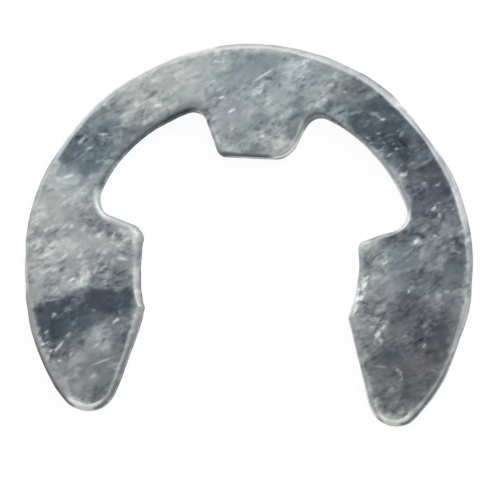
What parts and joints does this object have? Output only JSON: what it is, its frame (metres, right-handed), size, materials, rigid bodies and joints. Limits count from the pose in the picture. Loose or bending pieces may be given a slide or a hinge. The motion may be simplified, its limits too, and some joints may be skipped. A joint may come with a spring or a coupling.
{
  "type": "e-clip",
  "caption": "Flat stamped steel e-clip: an open ring with side prongs and a centre tab that snap sideways into a groove on a shaft.",
  "frame": {"origin": "centre of the shaft that the clip goes on, in the plane of the lower face", "axes": "+Z along the shaft, up through the clip as it lies flat; the mouth opens towards -Y; +X to the right with the mouth below"},
  "size_m": [0.0184, 0.0153, 0.0011],
  "materials": {
    "zinc_plated_steel": "dull mottled zinc plating with fine streaks, nicks and worn bright edges"
  },
  "bodies": {
    "root": {"e_clip": "zinc_plated_steel"}
  },
  "joints": []
}
